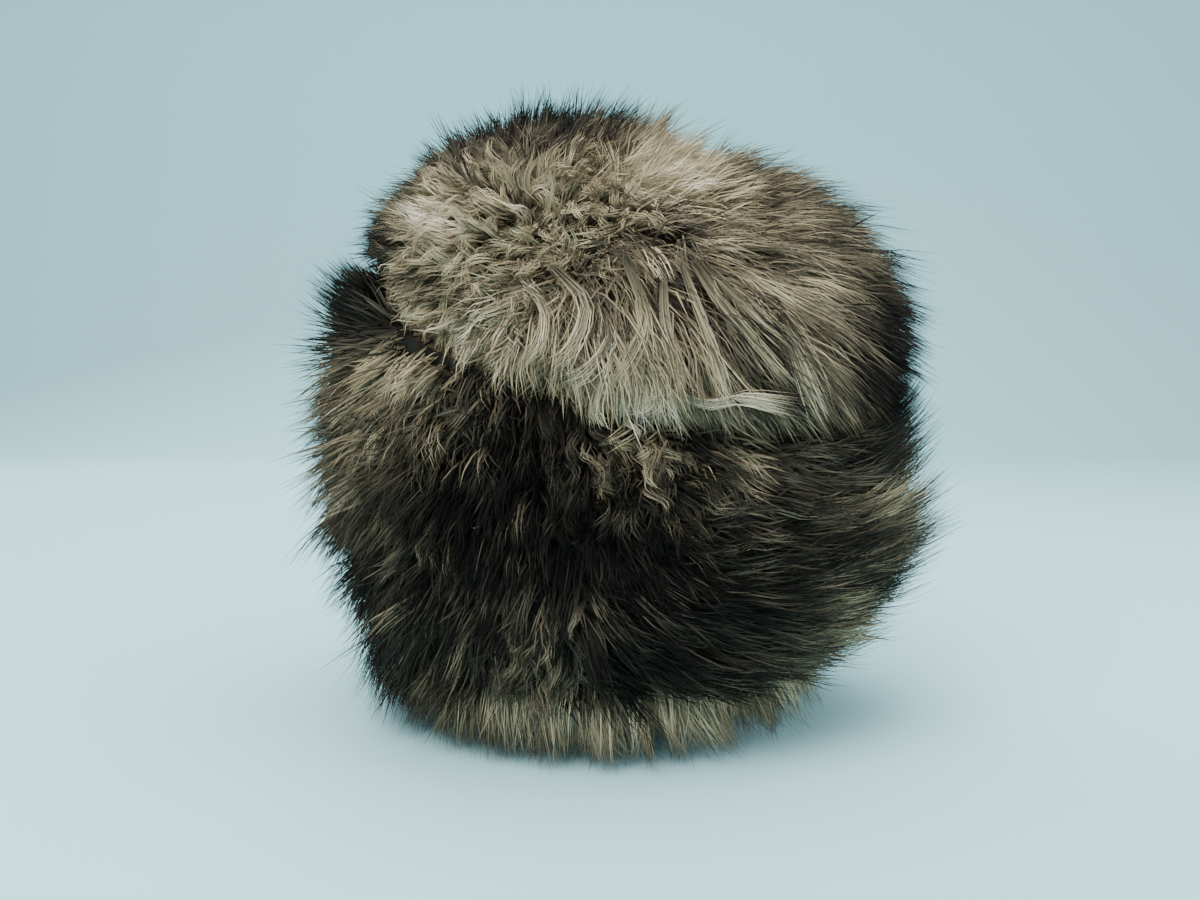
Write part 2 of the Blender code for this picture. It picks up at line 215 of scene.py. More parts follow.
# Lie of the cuff's hair, in the same columns
CUFF_LIE = (
    (338, 282, 125, 0.55, 17, 0.6, 0.14, 1.00, 0.08),
    (308, 350, 150, 0.72, 39, 0.6, 0.12, 1.00, 0.08),
    (304, 426, 165, 0.72, 41, 0.6, 0.10, 1.00, 0.08),
    (293, 477, 182, 0.72, 42, 0.6, 0.20, 1.00, 0.08),
    (297, 511, 192, 0.72, 42, 0.6, 0.10, 1.00, 0.08),
    (327, 579, 215, 0.62, 37, 0.6, 0.08, 1.00, 0.08),
    (344, 639, 235, 0.50, 38, 0.6, 0.14, 1.00, 0.08),
    (390, 375, 255, 0.36, 24, 2.0, 0.70, 0.20, 0.50),
    (352, 415, 245, 0.38, 26, 2.0, 0.56, 0.30, 0.45),
    (430, 430, 265, 0.36, 24, 1.4, 0.40, 0.40, 0.25),
    (430, 372, 290, 0.36, 20, 1.0, 0.20, 0.60, 0.25),
    (540, 425, 285, 0.36, 22, 1.2, 0.16, 0.60, 0.25),
    (327, 498, 205, 0.46, 29, 1.6, 0.72, 0.30, 0.25),
    (387, 485, 260, 0.36, 24, 1.0, 0.16, 0.60, 0.20),
    (387, 545, 245, 0.38, 20, 3.0, 0.26, 0.30, 0.45),
    (451, 528, 266, 0.32, 24, 1.0, 0.08, 0.60, 0.15),
    # The low tones of the cuff's middle, in this row, the next and the row at 630,549, are partly the fur's
    # own dark patch and partly painted shade
    (536, 507, 270, 0.32, 22, 1.0, 0.05, 0.60, 0.15),
    (502, 592, 262, 0.32, 24, 1.0, 0.07, 0.60, 0.15),
    (502, 656, 270, 0.40, 24, 3.0, 0.26, 0.10, 0.50),
    (545, 660, 272, 0.40, 24, 3.0, 0.32, 0.10, 0.50),
    (442, 665, 250, 0.38, 28, 1.2, 0.20, 0.60, 0.20),
    (400, 656, 240, 0.40, 32, 0.8, 0.28, 0.70, 0.12),
    (600, 464, 275, 0.38, 20, 3.0, 0.24, 0.20, 0.45),
    (650, 452, 270, 0.40, 20, 3.2, 0.50, 0.05, 0.55),
    (668, 505, 285, 0.38, 18, 2.8, 0.20, 0.30, 0.45),
    (720, 470, 340, 0.32, 20, 2.0, 0.36, 0.30, 0.28),
    (771, 455, 338, 0.30, 24, 1.2, 0.38, 0.40, 0.15),
    (729, 535, 352, 0.34, 20, 2.0, 0.20, 0.40, 0.28),
    (785, 505, 352, 0.32, 24, 1.2, 0.32, 0.40, 0.15),
    (630, 549, 285, 0.36, 20, 1.0, 0.02, 0.50, 0.20),
    (824, 477, 5, 0.33, 28, 0.8, 0.28, 0.60, 0.08),
    (848, 528, 34, 0.33, 34, 0.6, 0.20, 0.70, 0.06),
    # The raised tones of this row and of the row at 850,615 are partly painted highlights on the hair
    (885, 500, 36, 0.42, 34, 0.6, 0.52, 0.50, 0.06),
    (912, 541, 6, 0.60, 37, 0.6, 0.08, 1.00, 0.06),
    (878, 600, -4, 0.50, 39, 0.6, 0.12, 0.90, 0.06),
    (850, 615, 12, 0.38, 38, 0.6, 0.48, 0.40, 0.06),
    (790, 600, 14, 0.28, 36, 0.6, 0.14, 0.60, 0.06),
    (720, 600, 8, 0.26, 32, 0.6, 0.08, 0.60, 0.06),
    (650, 610, -4, 0.30, 28, 0.8, 0.08, 0.60, 0.10),
    (622, 655, -14, 0.30, 28, 1.0, 0.14, 0.50, 0.14),
    (700, 655, -10, 0.26, 34, 0.8, 0.14, 0.50, 0.08),
    (760, 672, -14, 0.28, 38, 0.8, 0.24, 0.40, 0.08),
    (830, 668, -14, 0.32, 40, 0.6, 0.44, 0.40, 0.08),
    (880, 655, -12, 0.45, 40, 0.6, 0.22, 0.80, 0.08),
    (912, 443, 66, 0.55, 24, 0.6, 0.08, 1.00, 0.06),
    (921, 485, 42, 0.62, 29, 0.6, 0.12, 1.00, 0.06),
    (700, 432, 300, 0.38, 20, 0.8, 0.08, 0.60, 0.15),
    (800, 432, 335, 0.36, 24, 0.8, 0.14, 0.50, 0.12),
    (865, 440, 20, 0.38, 24, 0.6, 0.12, 0.80, 0.08),
)

# Lie of the hair below the rim, in the same columns
RIM_LIE = (
    (350, 660, 245, 0.26, 38, 1.2, 0.42, 1.00, 0.22),
    (420, 690, 262, 0.20, 42, 1.2, 0.52, 0.80, 0.22),
    (500, 710, 268, 0.20, 46, 1.2, 0.59, 0.60, 0.22),
    (580, 715, 275, 0.20, 46, 1.2, 0.61, 0.60, 0.22),
    (650, 715, 285, 0.20, 46, 1.2, 0.62, 0.60, 0.22),
    (720, 705, 300, 0.20, 44, 1.2, 0.59, 0.60, 0.22),
    (790, 695, 318, 0.20, 42, 1.2, 0.60, 0.60, 0.22),
    (870, 665, 325, 0.24, 40, 1.2, 0.50, 0.80, 0.22),
)
LIE_REACH = 34.0  # how far around its place a row of a lie table counts, in photo pixels

# Shades of the hair, from the darkest to the palest
TONES = (
    (0.00, (0.003, 0.003, 0.0025)),
    (0.15, (0.014, 0.0125, 0.0095)),
    (0.35, (0.090, 0.076, 0.053)),
    (0.55, (0.335, 0.276, 0.168)),
    (0.78, (0.645, 0.560, 0.375)),
    (1.00, (0.900, 0.860, 0.730)),
)

# Single locks on the crown's front, as the places that each one runs through in the photo's frame, with
# its shade, its width in mm and how many hairs it has
WISPS = (
    {"way": ((669, 390), (707, 403), (742, 398), (795, 407)), "tone": 0.80, "wide": 2.6, "hairs": 44},
    {"way": ((631, 317), (608, 363), (594, 402), (598, 424), (616, 425)), "tone": 0.66, "wide": 2.8,
     "hairs": 34},
    {"way": ((669, 325), (661, 371), (657, 402), (631, 410)), "tone": 0.64, "wide": 2.8, "hairs": 30},
    {"way": ((554, 264), (585, 302), (572, 348), (547, 366)), "tone": 0.66, "wide": 3.4, "hairs": 34},
    {"way": ((585, 284), (608, 333), (588, 371), (562, 386)), "tone": 0.62, "wide": 3.2, "hairs": 34},
    {"way": ((623, 248), (646, 310), (635, 352), (604, 398)), "tone": 0.62, "wide": 3.2, "hairs": 34},
    {"way": ((684, 262), (705, 325), (721, 371), (730, 400)), "tone": 0.66, "wide": 3.0, "hairs": 34},
    {"way": ((696, 258), (723, 302), (761, 352), (792, 392)), "tone": 0.64, "wide": 3.0, "hairs": 34},
    {"way": ((664, 264), (665, 325), (677, 371), (684, 398)), "tone": 0.62, "wide": 3.0, "hairs": 30},
    {"way": ((705, 262), (740, 300), (770, 330), (792, 345)), "tone": 0.62, "wide": 3.0, "hairs": 30},
    {"way": ((785, 315), (803, 365), (826, 417)), "tone": 0.66, "wide": 6.0, "hairs": 80},
    {"way": ((520, 275), (545, 310), (540, 345), (520, 365)), "tone": 0.62, "wide": 3.0, "hairs": 30},
)

# Dark and pale patches: a place in the photo's frame, its reach in pixels and its share of dark, which is
# below zero for a pale one. The pale ones on the cuff's right, at 888,502 and 850,615, are painted
# highlights on the hair.
PATCHES_AND_HIGHLIGHTS = (
    {"x": 686, "y": 250, "reach": 13, "dark": 0.95},
    {"x": 755, "y": 368, "reach": 15, "dark": 0.70},
    {"x": 668, "y": 345, "reach": 9, "dark": 0.50},
    {"x": 598, "y": 340, "reach": 9, "dark": 0.50},
    # Darkens the cuff's middle: partly the fur's own dark patch, partly painted shade
    {"x": 630, "y": 565, "reach": 24, "dark": 0.70},
    {"x": 420, "y": 300, "reach": 12, "dark": 0.40},
    {"x": 480, "y": 120, "reach": 18, "dark": 0.65},
    {"x": 555, "y": 108, "reach": 17, "dark": 0.65},
    {"x": 618, "y": 104, "reach": 15, "dark": 0.60},
    {"x": 756, "y": 126, "reach": 24, "dark": 0.85},
    {"x": 805, "y": 150, "reach": 20, "dark": 0.75},
    {"x": 695, "y": 106, "reach": 14, "dark": 0.45},
    {"x": 900, "y": 290, "reach": 14, "dark": 0.55},
    {"x": 900, "y": 372, "reach": 22, "dark": 0.70},
    {"x": 411, "y": 208, "reach": 19, "dark": -0.70},
    {"x": 370, "y": 238, "reach": 13, "dark": 0.80},
    {"x": 396, "y": 180, "reach": 10, "dark": 0.60},
    {"x": 665, "y": 165, "reach": 38, "dark": -0.22},
    # Painted highlights on the hair of the cuff's right
    {"x": 888, "y": 502, "reach": 19, "dark": -1.10},
    {"x": 850, "y": 615, "reach": 17, "dark": -1.10},
    {"x": 896, "y": 450, "reach": 12, "dark": -0.80},
    {"x": 840, "y": 682, "reach": 22, "dark": -0.60},
    {"x": 655, "y": 450, "reach": 18, "dark": -0.70},
    {"x": 326, "y": 502, "reach": 16, "dark": -0.40},
    {"x": 760, "y": 480, "reach": 30, "dark": -0.30},
)

# Lower edge of the crown's hair on the photo's side, as places in the photo's frame
CROWN_EDGE = (
    (340, 236), (370, 252), (384, 292), (401, 322), (432, 348), (453, 362), (486, 378), (540, 402),
    (600, 420), (700, 420), (800, 424), (860, 432), (905, 412),
)
EDGE_UNEVEN = 12.0  # how much single hairs differ from that edge, in photo pixels

# Studio lights: from above and in front, from above, from behind and from the right
LIGHT_AIM = (0.0, 0.0, 0.15)
LIGHT_COLUMNS = ("name", "place", "size", "power", "colour")
LIGHTS = (
    ("key_light", (-0.5, -1.1, 1.5), 1.2, 40.0, (1.0, 0.98, 0.95)),
    ("top_light", (0.3, 0.2, 1.8), 1.4, 26.0, (0.96, 0.99, 1.0)),
    ("back_light", (-0.7, 1.5, 1.3), 1.2, 24.0, (1.0, 0.98, 0.96)),
    ("side_light", (1.5, -0.8, 0.7), 1.2, 14.0, (0.95, 0.98, 1.0)),
)


def opening_middle():
    """Middle of the opening on the floor plan, from the crown's leather at its rim."""
    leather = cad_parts["crown"].data
    places = np.array([vert.co[:] for vert in leather.vertices])
    level = 0.0002
    rim = places[places[:, 2] < places[:, 2].min() + level]
    middle = (rim.min(axis=0) + rim.max(axis=0)) / 2.0
    return np.array([middle[0], middle[1], 0.0])


MIDDLE = opening_middle()


def named(columns, row):
    """A row of a table by the names of its columns."""
    return dict(zip(columns, row))


def unit(vectors):
    """The same directions at length 1."""
    size = np.linalg.norm(vectors, axis=-1, keepdims=True)
    return vectors / np.maximum(size, TINY)


def seam_plane(x, y):
    """Height of the seam's plane over a place about the opening's middle."""
    return SEAM_HEIGHT + SEAM_SLOPE_X * (x - SEAM_SHIFT) + SEAM_SLOPE_Y * y


def crown_surface(turn, rise):
    """Outer side of the crown's leather at an angle round it and a share of its height."""
    flat = np.sqrt(np.maximum(1.0 - rise**2, 1e-6)) ** DOME_FULLNESS
    x = SEAM_SHIFT + (SEAM_RADIUS + LEATHER) * flat * np.cos(turn)
    y = (SEAM_RADIUS + LEATHER) * flat * np.sin(turn)
    place = np.stack([x, y, seam_plane(x, y)], axis=-1)
    axis = unit(np.array([-SEAM_SLOPE_X, -SEAM_SLOPE_Y, 1.0]))
    return place + axis * ((DOME_HEIGHT + LEATHER) * rise)[..., None] + MIDDLE


def cuff_surface(turn, rise):
    """Outer side of the cuff's leather at an angle round it and a share of its height."""
    seam_x = SEAM_SHIFT + SEAM_RADIUS * np.cos(turn)
    seam_y = SEAM_RADIUS * np.sin(turn)
    seam = seam_plane(seam_x, seam_y)
    height = RIM_HEIGHT + (seam - CUFF_DROP - RIM_HEIGHT) * rise
    foot = RIM_HEIGHT + HEM_HEIGHT
    share = np.clip((height - foot) / (seam - foot), 0.0, 1.0)
    spread = np.interp(share, CUFF_SPREAD["height"], CUFF_SPREAD["share"])
    away = CUFF_GAP + CUFF_PADDING * np.interp(rise, CUFF_FULLNESS["height"], CUFF_FULLNESS["share"])
    x = (1.0 - spread) * HEAD_WIDTH / 2 * np.cos(turn) + spread * seam_x + away * np.cos(turn)
    y = (1.0 - spread) * HEAD_DEPTH / 2 * np.sin(turn) + spread * seam_y + away * np.sin(turn)
    return np.stack([x, y, height], axis=-1) + MIDDLE


def surface_normals(surface, turn, rise):
    """Outward directions of a surface at the same places."""
    step = 0.01
    top = 0.999
    along = surface(turn + step, rise) - surface(turn - step, rise)
    up = surface(turn, np.minimum(rise + step, top)) - surface(turn, np.maximum(rise - step, 0.0))
    return unit(np.cross(along, up))


def photo_view():
    """Place of the camera and its right, up and forward directions."""
    back = np.array([0.0, -math.cos(CAMERA_RISE), math.sin(CAMERA_RISE)])
    place = CAMERA_AIM + MIDDLE + CAMERA_DISTANCE * back
    right = np.array([1.0, 0.0, 0.0])
    return place, right, np.cross(right, -back), -back


def photo_places(points):
    """Where points fall in the photo's frame."""
    place, right, up, forward = photo_view()
    way = points - place
    depth = way @ forward
    x = PHOTO_WIDTH / 2 + PHOTO_SCALE * (way @ right) / depth
    y = PHOTO_HEIGHT / 2 - PHOTO_SCALE * (way @ up) / depth
    return np.stack([x, y], axis=-1)


def smooth_step(low, high, value):
    """0 below low, 1 above high, and a soft rise between."""
    way = np.clip((value - low) / (high - low), 0.0, 1.0)
    return way * way * (3.0 - 2.0 * way)


def blend_weights(table, seen):
    """How much each row of a lie table counts at each place in the photo's frame."""
    places = np.array([row[:2] for row in table], dtype=float)
    gap = ((seen[:, None, :] - places[None]) ** 2).sum(axis=-1)
    gap -= gap.min(axis=1, keepdims=True)
    weight = np.exp(-gap / (2.0 * LIE_REACH**2))
    return weight / weight.sum(axis=1, keepdims=True)


def column(table, name):
    """One named column of a lie table."""
    return np.array([row[LIE_COLUMNS.index(name)] for row in table])


def read_lie(table, points, normals, far_way, far):
    """Way, lift, pile, curl, tone, black and messy of the hair at each place: the table's on the photo's
    side of the hat, and the plain far_way and far values behind it."""
    place, right, up, forward = photo_view()
    weight = blend_weights(table, photo_places(points))
    angle = np.radians(column(table, "angle"))
    away = normals @ forward
    side = (normals @ right)[:, None]
    behind = smooth_step(*BEND_ROUND, away)[:, None]
    across = right * (1.0 - behind * np.abs(side)) + forward * (behind * side)
    way = (weight @ np.cos(angle))[:, None] * across + (weight @ np.sin(angle))[:, None] * up
    near = 1.0 - smooth_step(*GIVE_WAY, away)
    way = unit(way) * near[:, None] + far_way * (1.0 - near)[:, None]
    flow = unit(way - normals * (way * normals).sum(axis=1, keepdims=True))
    values = {}
    for key in ("lift", "pile", "curl", "black", "messy"):
        values[key] = (weight @ column(table, key)) * near + far[key] * (1.0 - near)
    lift = values["lift"][:, None]
    lean = normals * (lift - 0.4) + flow * (1.0 - lift)
    seen = photo_places(points + lean * values["pile"][:, None] * 0.9 * MM)
    tone = blend_weights(table, seen) @ column(table, "tone")
    # Dark and pale patches change the tone; two of the pale ones are painted highlights
    for patch in PATCHES_AND_HIGHLIGHTS:
        gap = ((seen - np.array([patch["x"], patch["y"]])) ** 2).sum(axis=1)
        tone = tone * (1.0 - patch["dark"] * np.exp(-gap / (2.0 * patch["reach"] ** 2)))
    values["tone"] = tone * near + far["tone"] * (1.0 - near)
    return flow, values


def ribbons(name, points, sides, width, tone):
    """One mesh of hairs. points is hairs by steps by 3, sides the direction of each hair's width."""
    hairs, steps = points.shape[:2]
    share = np.linspace(0.0, 1.0, steps)
    taper = (1.0 - share[:-1] ** TAPER_POWER)[None, :, None] * width[:, None, None] / 2.0
    left = points[:, :-1] - sides[:, None, :] * taper
    right = points[:, :-1] + sides[:, None, :] * taper
    pairs = np.stack([left, right], axis=2).reshape(hairs, -1, 3)
    verts = np.concatenate([pairs, points[:, -1:]], axis=1)
    count = verts.shape[1]
    faces = []
    for step in range(steps - 2):
        low = 2 * step
        faces += [(low, low + 1, low + 3), (low, low + 3, low + 2)]
    faces.append((count - 3, count - 2, count - 1))
    corners = np.array(faces)
    loops = (corners[None] + (np.arange(hairs) * count)[:, None, None]).reshape(-1)
    along = np.append(np.repeat(share[:-1], 2), 1.0)
    mesh = bpy.data.meshes.new(name)
    triangles = hairs * len(faces)
    mesh.vertices.add(hairs * count)
    mesh.vertices.foreach_set("co", verts.reshape(-1))
    mesh.loops.add(triangles * 3)
    mesh.loops.foreach_set("vertex_index", loops)
    mesh.polygons.add(triangles)
    mesh.polygons.foreach_set("loop_start", np.arange(triangles) * 3)
    place = np.empty((hairs, len(faces) * 3, 2))
    place[:, :, 0] = (0.01 + 0.98 * along[corners.reshape(-1)])[None]
    place[:, :, 1] = np.clip(tone, 0.01, 0.99)[:, None]
    layer = mesh.uv_layers.new(name="OFBake")
    layer.data.foreach_set("uv", place.reshape(-1))
    mesh.update(calc_edges=True)
    mesh.shade_smooth()
    piece = bpy.data.objects.new(name, mesh)
    bpy.context.scene.collection.objects.link(piece)
    return piece


def inside_box(points):
    """Shorten the hairs that would stand too far out of the solids' box or through the floor."""
    low = np.array(cad_box[0]) - HAIR_MARGIN
    high = np.array(cad_box[1]) + HAIR_MARGIN
    low[2] = FLOOR_CLEAR
    root = points[:, :1]
    reach = points - root
    over = np.where(reach > 0, (high - root) / np.maximum(reach, TINY), 1.0)
    under = np.where(reach < 0, (low - root) / np.minimum(reach, -TINY), 1.0)
    share = np.clip(np.minimum(over, under), 0.0, 1.0).min(axis=(1, 2))
    return root + reach * share[:, None, None]


def above_edge(chance, points):
    """Shorten the hairs of the crown that would hang below its edge on the photo's side."""
    places = np.array(CROWN_EDGE, dtype=float)
    root = photo_places(points[:, 0])
    tip = photo_places(points[:, -1])
    edge = np.interp(tip[:, 0], places[:, 0], places[:, 1]) + chance.normal(0.0, EDGE_UNEVEN, len(points))
    drop = np.maximum(tip[:, 1] - root[:, 1], 1e-6)
    shortest = 0.30
    share = np.where(tip[:, 1] > edge, (edge - root[:, 1]) / drop, 1.0).clip(shortest, 1.0)
    share = np.where(points[:, 0, 1] < 0.0, share, 1.0)
    return points[:, :1] + (points - points[:, :1]) * share[:, None, None]


def grow(name, chance, roots, normals, flow, values):
    """Hair in tufts, of the kind that STRANDS names. Each tuft has a root, a flow and values of its own;
    its hairs start within a radius of the root and draw together towards the tip."""
    kind = named(STRAND_COLUMNS, STRANDS[name])
    tufts = len(roots)
    index = np.repeat(np.arange(tufts), kind["hairs"])
    total = len(index)
    normal = normals[index]
    spin = unit(chance.normal(size=(total, 3)))
    offset = unit(np.cross(normal, spin)) * (kind["radius"] * MM * np.sqrt(chance.random(total)))[:, None]
    root = roots[index] + offset
    lift = values["lift"][index][:, None]
    tuft_way = flow + values["messy"][:, None] * chance.normal(0.0, TUFT_WAY_SPREAD, (tufts, 3))
    tuft_pile = values["pile"] * chance.normal(1.0, TUFT_LENGTH_SPREAD, tufts).clip(*TUFT_LENGTHS)
    pile = tuft_pile[index] * MM * chance.normal(1.0, HAIR_LENGTH_SPREAD, total).clip(*HAIR_LENGTHS)
    loose = chance.normal(0.0, kind["stray"], (total, 3))
    start = unit(normal + ROOT_LEAN * flow[index] + loose)
    end = unit(normal * (lift * 1.4 - 0.35) + tuft_way[index] * (1.15 - lift) + loose)
    share = np.linspace(0.0, 1.0, kind["steps"])[None, :, None]
    path = start[:, None] * (share - share**2 / 2.0) + end[:, None] * (share**2 / 2.0)
    points = root[:, None] + path * pile[:, None, None] * CURVE_LENGTH
    points -= offset[:, None] * kind["gather"] * share**1.5
    tuft_phase = chance.random(tufts)[index] * FULL_TURN
    tuft_rate = (chance.uniform(0.5, 1.0, tufts) + 0.15 * values["curl"])[index]
    phase = (tuft_rate[:, None] * share[0, :, 0][None] * FULL_TURN) + tuft_phase[:, None]
    wave = values["curl"][index][:, None] * MM * share[0, :, 0][None]
    tuft_across = unit(np.cross(flow[index], normal))
    points += tuft_across[:, None] * (np.sin(phase) * wave)[..., None]
    points += normal[:, None] * (np.cos(phase) * wave * WAVE_DEPTH)[..., None]
    tuft_tone = chance.normal(0.0, TUFT_TONE_SPREAD, tufts)[index]
    tone = values["tone"][index] + tuft_tone + chance.normal(0.0, HAIR_TONE_SPREAD, total)
    sides = unit(np.cross(end, normal + SIDE_SPREAD * chance.normal(size=(total, 3))))
    if name.startswith("crown"):
        points = above_edge(chance, points)
    width = kind["width"] * MM * chance.uniform(*HAIR_WIDTHS, total)
    return ribbons(name, inside_box(points), sides, width, tone)


def thinned(chance, roots, normals, flow, values, share):
    """Only some of the tufts, by each one's own share."""
    keep = chance.random(len(roots)) < share
    kept = {}
    for key, value in values.items():
        kept[key] = value[keep]
    return roots[keep], normals[keep], flow[keep], kept


def sow_crown(chance, tufts):
    """Places all over the crown, with their normals, shares of its height and angles round it."""
    turn = chance.random(tufts) * FULL_TURN
    rise = chance.random(tufts) * 0.995
    return crown_surface(turn, rise), surface_normals(crown_surface, turn, rise), rise, turn


def sow_cuff(chance, tufts, low=0.05, high=1.0):
    """Places all over the cuff, in the same order; more of them where the cuff is taller."""
    turn = chance.random(tufts * 3) * FULL_TURN
    tall = cuff_surface(turn, np.ones_like(turn))[:, 2] - RIM_HEIGHT
    turn = turn[chance.random(tufts * 3) < tall / tall.max()][:tufts]
    rise = low + (high - low) * chance.random(len(turn))
    return cuff_surface(turn, rise), surface_normals(cuff_surface, turn, rise), rise, turn


def crown_lie(roots, normals, rise, turn):
    """The crown's lie, whose far side doesn't depend on the turn: there the hair falls from the top."""
    axis = unit(np.array([-SEAM_SLOPE_X, -SEAM_SLOPE_Y, 1.0]))
    fall = unit(-axis - normals * (normals @ -axis)[:, None])
    tone = 0.50 + 0.10 * np.sin(roots[:, 0] * 60.0) * np.sin(roots[:, 1] * 45.0 + 1.0)
    flat = np.ones(len(roots))
    left = smooth_step(0.02, -0.09, roots[:, 0])
    far = {"lift": 0.45 + 0.2 * rise, "pile": 29.0 - 12.0 * left, "curl": 1.2 * flat, "tone": tone,
           "black": 0.55 * flat, "messy": 0.12 + 0.2 * rise}
    return read_lie(CROWN_LIE, roots + normals * FUR_MIDDLE["crown"], normals, fall, far)


def cuff_lie(roots, normals, rise, turn):
    """The cuff's lie: on the far side the hair hangs down, and the highest stands out."""
    up = np.array([0.0, 0.0, 1.0])
    around = np.stack([-np.sin(turn), np.cos(turn), np.zeros_like(turn)], axis=-1)
    fan = around * 0.3 * np.cos(turn)[:, None] - up
    tone = 0.32 + 0.26 * smooth_step(0.1, 1.0, np.sin(turn * 3.0 + 4.0 * rise))
    tone += 0.14 * smooth_step(0.25, 0.0, rise)
    flat = np.ones(len(roots))
    lift = 0.34 + 0.62 * smooth_step(0.80, 0.98, rise)
    far = {"lift": lift, "pile": 34.0 * flat, "curl": 1.4 * flat, "tone": tone, "black": 0.8 * flat,
           "messy": 0.12 * flat}
    return read_lie(CUFF_LIE, roots + normals * FUR_MIDDLE["cuff"], normals, unit(fan), far)


def scaled(values, pile=1.0, tone=0.0, curl=1.0, lift=0.0):
    """The same values with the pile, tone, curl and lift changed."""
    made = dict(values)
    made["pile"] = values["pile"] * pile
    made["tone"] = values["tone"] + tone
    made["curl"] = values["curl"] * curl
    made["lift"] = np.clip(values["lift"] + lift, 0.0, 1.0)
    return made


def curled(name, roots, normals, flow, values):
    """The same tufts as short coils that lie on top of the fur."""
    curls = named(CURL_COLUMNS, CURLS[name])
    flat = np.ones(len(roots))
    made = dict(values)
    made["pile"] = curls["pile"] * flat
    made["curl"] = CURL_SIZE * flat
    made["lift"] = CURL_LIFT * flat
    made["messy"] = CURL_MESSY * flat
    return roots + normals * curls["start"] * MM, normals, flow, made


def grow_coat(area, sow, lie):
    """The wool, locks, guard hairs and curls of the crown or of the cuff."""
    chance = np.random.default_rng(SEEDS[area])
    pieces = {}
    for kind in ("wool", "locks", "guard_hair", "curls"):
        name = area + "_" + kind
        coat = named(COAT_COLUMNS, COATS[name])
        roots, normals, rise, turn = sow(chance, coat["tufts"])
        flow, values = lie(roots, normals, rise, turn)
        tufts = (roots, normals, flow, values)
        if kind == "guard_hair":
            tufts = thinned(chance, *tufts, values["black"])
        if kind == "curls":
            curls = named(CURL_COLUMNS, CURLS[name])
            share = smooth_step(curls["none"], curls["all"], values["messy"])
            tufts = curled(name, *thinned(chance, *tufts, share))
        *places, values = tufts
        pieces[kind] = grow(name, chance, *places, scaled(values, coat["pile"], coat["tone"], coat["curl"]))
    return pieces


def grow_rim():
    """The pale hair below the rim, and its dark tips."""
    tufts = 760
    band = 0.06
    depths = (-0.004, 0.007)
    lengths = (0.36, 0.84)
    splay = 0.55
    chance = np.random.default_rng(SEEDS["rim"])
    roots, normals, rise, turn = sow_cuff(chance, tufts, low=0.0, high=band)
    normals = unit(normals * np.array([1.0, 1.0, 0.0]))
    roots = roots + normals * chance.uniform(*depths, len(roots))[:, None]
    down = np.tile(np.array([0.0, 0.0, -1.0]), (len(roots), 1))
    flat = np.ones(len(roots))
    far = {"lift": 0.16 * flat, "pile": 42.0 * flat, "curl": 0.6 * flat, "tone": 0.58 * flat,
           "black": 0.8 * flat, "messy": 0.08 * flat}
    flow, values = read_lie(RIM_LIE, roots + normals * FUR_MIDDLE["rim"], normals, down, far)
    values["pile"] = values["pile"] * chance.uniform(*lengths, len(roots))
    normals = unit(normals * splay + down)
    pale = grow("rim_hair", chance, roots, normals, flow, values)
    longer = scaled(values, pile=1.25, tone=-0.25, lift=0.06)
    tips = thinned(chance, roots, normals, flow, longer, values["black"] * 0.7)
    dark = grow("rim_guard_hair", chance, *tips)
    return pale, dark


def outer_fur():
    """Places spread over the outside of the fur on the photo's side, and where they fall in the photo."""
    crown_stand = 0.027
    cuff_stand = 0.016
    turn, rise = np.meshgrid(np.linspace(0.0, FULL_TURN, 240), np.linspace(0.0, 0.99, 60))
    turn = turn.ravel()
    rise = rise.ravel()
    places = []
    for surface, stand in ((crown_surface, crown_stand), (cuff_surface, cuff_stand)):
        places.append(surface(turn, rise) + surface_normals(surface, turn, rise) * stand)
    places = np.concatenate(places)
    places = places[places[:, 1] < 0.0]
    return places, photo_places(places)


def behind_photo(pixels, places, seen, stand):
    """Places in space that fall on the given places in the photo, a little in front of the fur that is
    seen within reach of them, in photo pixels."""
    reach = 12.0
    camera, right, up, forward = photo_view()
    depths = []
    for x, y in pixels:
        gap = np.hypot(seen[:, 0] - x, seen[:, 1] - y)
        depths.append(((places[gap < reach] - camera) @ forward).min() - stand)
    order = np.arange(len(pixels))
    depths = np.polyval(np.polyfit(order, depths, 1), order)
    out = []
    for (x, y), depth in zip(pixels, depths):
        across = (x - PHOTO_WIDTH / 2) / PHOTO_SCALE
        down = (y - PHOTO_HEIGHT / 2) / PHOTO_SCALE
        way = forward + right * across - up * down
        out.append(camera + way * depth)
    return np.array(out)


def smooth_way(points, steps):
    """A curve through a few points, at even steps."""
    before = np.vstack([2 * points[:1] - points[1:2], points, 2 * points[-1:] - points[-2:-1]])
    out = []
    for at in np.linspace(0.0, len(points) - 1.0001, steps):
        low = int(at)
        t = at - low
        a, b, c, d = before[low:low + 4]
        bend = 2 * a - 5 * b + 4 * c - d
        twist = 3 * b - a - 3 * c + d
        out.append(0.5 * (2 * b + (c - a) * t + bend * t**2 + twist * t**3))
    return np.array(out)


